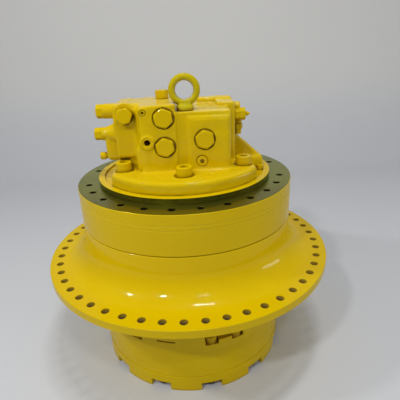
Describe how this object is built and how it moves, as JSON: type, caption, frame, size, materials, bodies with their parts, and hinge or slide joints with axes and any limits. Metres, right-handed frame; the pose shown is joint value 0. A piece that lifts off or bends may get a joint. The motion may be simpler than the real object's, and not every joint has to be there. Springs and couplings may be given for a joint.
{
  "type": "bulldozer final drive",
  "caption": "Hydrostatic final drive: turning sprocket hub on a fixed spindle, planetary gearbox inside, motor head with ports and eye bolt on top.",
  "frame": {"origin": "on the axis of rotation, at the top face of the sprocket flange", "axes": "+Z along the axis from the gearbox to the motor head; -Y is the side of the motor head with the plugs, and the two skipped frame screw positions lie on the X axis"},
  "size_m": [0.912, 0.9118, 0.9177],
  "materials": {
    "spindle_enamel": "yellow enamel, bare oiled olive bolting face",
    "hub_enamel": "glossy yellow enamel",
    "drum_enamel": "glossy yellow enamel",
    "head_enamel": "glossy yellow enamel on a cast surface",
    "eye_enamel": "yellow enamel worn to bare steel inside the ring",
    "fitting_enamel": "glossy yellow enamel",
    "bearing_steel": "ground bearing steel",
    "ground_steel": "ground steel, oiled",
    "gear_steel": "case-hardened gear steel",
    "carrier_iron": "machined cast iron",
    "bush_bronze": "bronze",
    "friction_lining": "paper friction lining on steel",
    "spring_steel": "blued spring steel"
  },
  "bodies": {
    "frame_side": {"spindle": "spindle_enamel", "upper_inner_race": "bearing_steel", "lower_inner_race": "bearing_steel", "fixed_seal_ring": "ground_steel", "carrier_2": "carrier_iron", "carrier_2_screws": "ground_steel", "planet_pins_2": "ground_steel", "planet_bushes_2": "bush_bronze", "swash_plate": "ground_steel", "valve_plate": "ground_steel", "lower_shaft_bearing": "bearing_steel", "upper_shaft_bearing": "bearing_steel", "brake_plates": "ground_steel", "brake_springs": "spring_steel", "motor_head": "head_enamel", "head_screws": "fitting_enamel", "port_plugs": "fitting_enamel", "gauge_plug": "fitting_enamel", "pin_plug": "ground_steel", "relief_cap": "fitting_enamel", "left_plug": "fitting_enamel", "left_port_plug": "fitting_enamel", "left_bleeder": "fitting_enamel", "side_cap": "fitting_enamel", "adjuster_body": "fitting_enamel", "adjuster_nut": "fitting_enamel", "adjuster_screw": "fitting_enamel", "elbow_fitting": "fitting_enamel", "top_plug": "fitting_enamel", "rim_screw": "fitting_enamel", "eye_bolt": "eye_enamel"},
    "housing": {"sprocket_hub": "hub_enamel", "ring_gear": "drum_enamel", "end_cover": "drum_enamel", "ring_screws": "fitting_enamel", "cover_bolts": "fitting_enamel", "oil_plugs": "fitting_enamel", "upper_outer_race": "bearing_steel", "lower_outer_race": "bearing_steel", "turning_seal_ring": "ground_steel"},
    "input_group": {"motor_shaft": "ground_steel", "cylinder_block": "carrier_iron", "pistons": "ground_steel", "brake_discs": "friction_lining", "sun_gear_1": "gear_steel"},
    "first_carrier": {"carrier_1": "carrier_iron", "planet_pins_1": "ground_steel", "planet_bushes_1": "bush_bronze", "sun_gear_2": "gear_steel"},
    "brake_piston": {"brake_piston": "ground_steel"},
    "upper_roller_set": {"upper_rollers": "bearing_steel", "upper_roller_cage": "bush_bronze"},
    "lower_roller_set": {"lower_rollers": "bearing_steel", "lower_roller_cage": "bush_bronze"},
    "planet_1a": {"planet_gear_1a": "gear_steel"},
    "planet_2a": {"planet_gear_2a": "gear_steel"},
    "planet_1b": {"planet_gear_1b": "gear_steel"},
    "planet_2b": {"planet_gear_2b": "gear_steel"},
    "planet_1c": {"planet_gear_1c": "gear_steel"},
    "planet_2c": {"planet_gear_2c": "gear_steel"}
  },
  "joints": [
    {"name": "housing_spin", "type": "hinge", "parent": "frame_side", "child": "housing", "pos_m": [0, 0, 0], "axis": [0, 0, 1], "continuous": true},
    {"name": "first_carrier_spin", "type": "hinge", "parent": "frame_side", "child": "first_carrier", "pos_m": [0, 0, -0.263], "axis": [0, 0, 1], "continuous": true},
    {"name": "motor_shaft_spin", "type": "hinge", "parent": "frame_side", "child": "input_group", "pos_m": [0, 0, -0.1], "axis": [0, 0, 1], "continuous": true},
    {"name": "upper_roller_orbit", "type": "hinge", "parent": "frame_side", "child": "upper_roller_set", "pos_m": [0, 0, 0.095], "axis": [0, 0, 1], "continuous": true},
    {"name": "lower_roller_orbit", "type": "hinge", "parent": "frame_side", "child": "lower_roller_set", "pos_m": [0, 0, -0.08], "axis": [0, 0, 1], "continuous": true},
    {"name": "brake_release", "type": "slide", "parent": "frame_side", "child": "brake_piston", "axis": [0, 0, 1], "range_m": [0, 0.0025], "deforming": ["brake_springs"]},
    {"name": "planet_1a_spin", "type": "hinge", "parent": "first_carrier", "child": "planet_1a", "pos_m": [0.15, 0, -0.287], "axis": [0, 0, 1], "continuous": true},
    {"name": "planet_2a_spin", "type": "hinge", "parent": "frame_side", "child": "planet_2a", "pos_m": [0.075, 0.1299, -0.229], "axis": [0, 0, 1], "continuous": true},
    {"name": "planet_1b_spin", "type": "hinge", "parent": "first_carrier", "child": "planet_1b", "pos_m": [-0.075, 0.1299, -0.287], "axis": [0, 0, 1], "continuous": true},
    {"name": "planet_2b_spin", "type": "hinge", "parent": "frame_side", "child": "planet_2b", "pos_m": [-0.15, 0, -0.229], "axis": [0, 0, 1], "continuous": true},
    {"name": "planet_1c_spin", "type": "hinge", "parent": "first_carrier", "child": "planet_1c", "pos_m": [-0.075, -0.1299, -0.287], "axis": [0, 0, 1], "continuous": true},
    {"name": "planet_2c_spin", "type": "hinge", "parent": "frame_side", "child": "planet_2c", "pos_m": [0.075, -0.1299, -0.229], "axis": [0, 0, 1], "continuous": true}
  ],
  "couplings": [
    {"joint": "first_carrier_spin", "follows": "housing_spin", "ratio": -4},
    {"joint": "motor_shaft_spin", "follows": "housing_spin", "ratio": -24},
    {"joint": "upper_roller_orbit", "follows": "housing_spin", "ratio": 0.53005},
    {"joint": "lower_roller_orbit", "follows": "housing_spin", "ratio": 0.53005},
    {"joint": "planet_1a_spin", "follows": "housing_spin", "ratio": 13.333},
    {"joint": "planet_2a_spin", "follows": "housing_spin", "ratio": 2.6667},
    {"joint": "planet_1b_spin", "follows": "housing_spin", "ratio": 13.333},
    {"joint": "planet_2b_spin", "follows": "housing_spin", "ratio": 2.6667},
    {"joint": "planet_1c_spin", "follows": "housing_spin", "ratio": 13.333},
    {"joint": "planet_2c_spin", "follows": "housing_spin", "ratio": 2.6667}
  ]
}
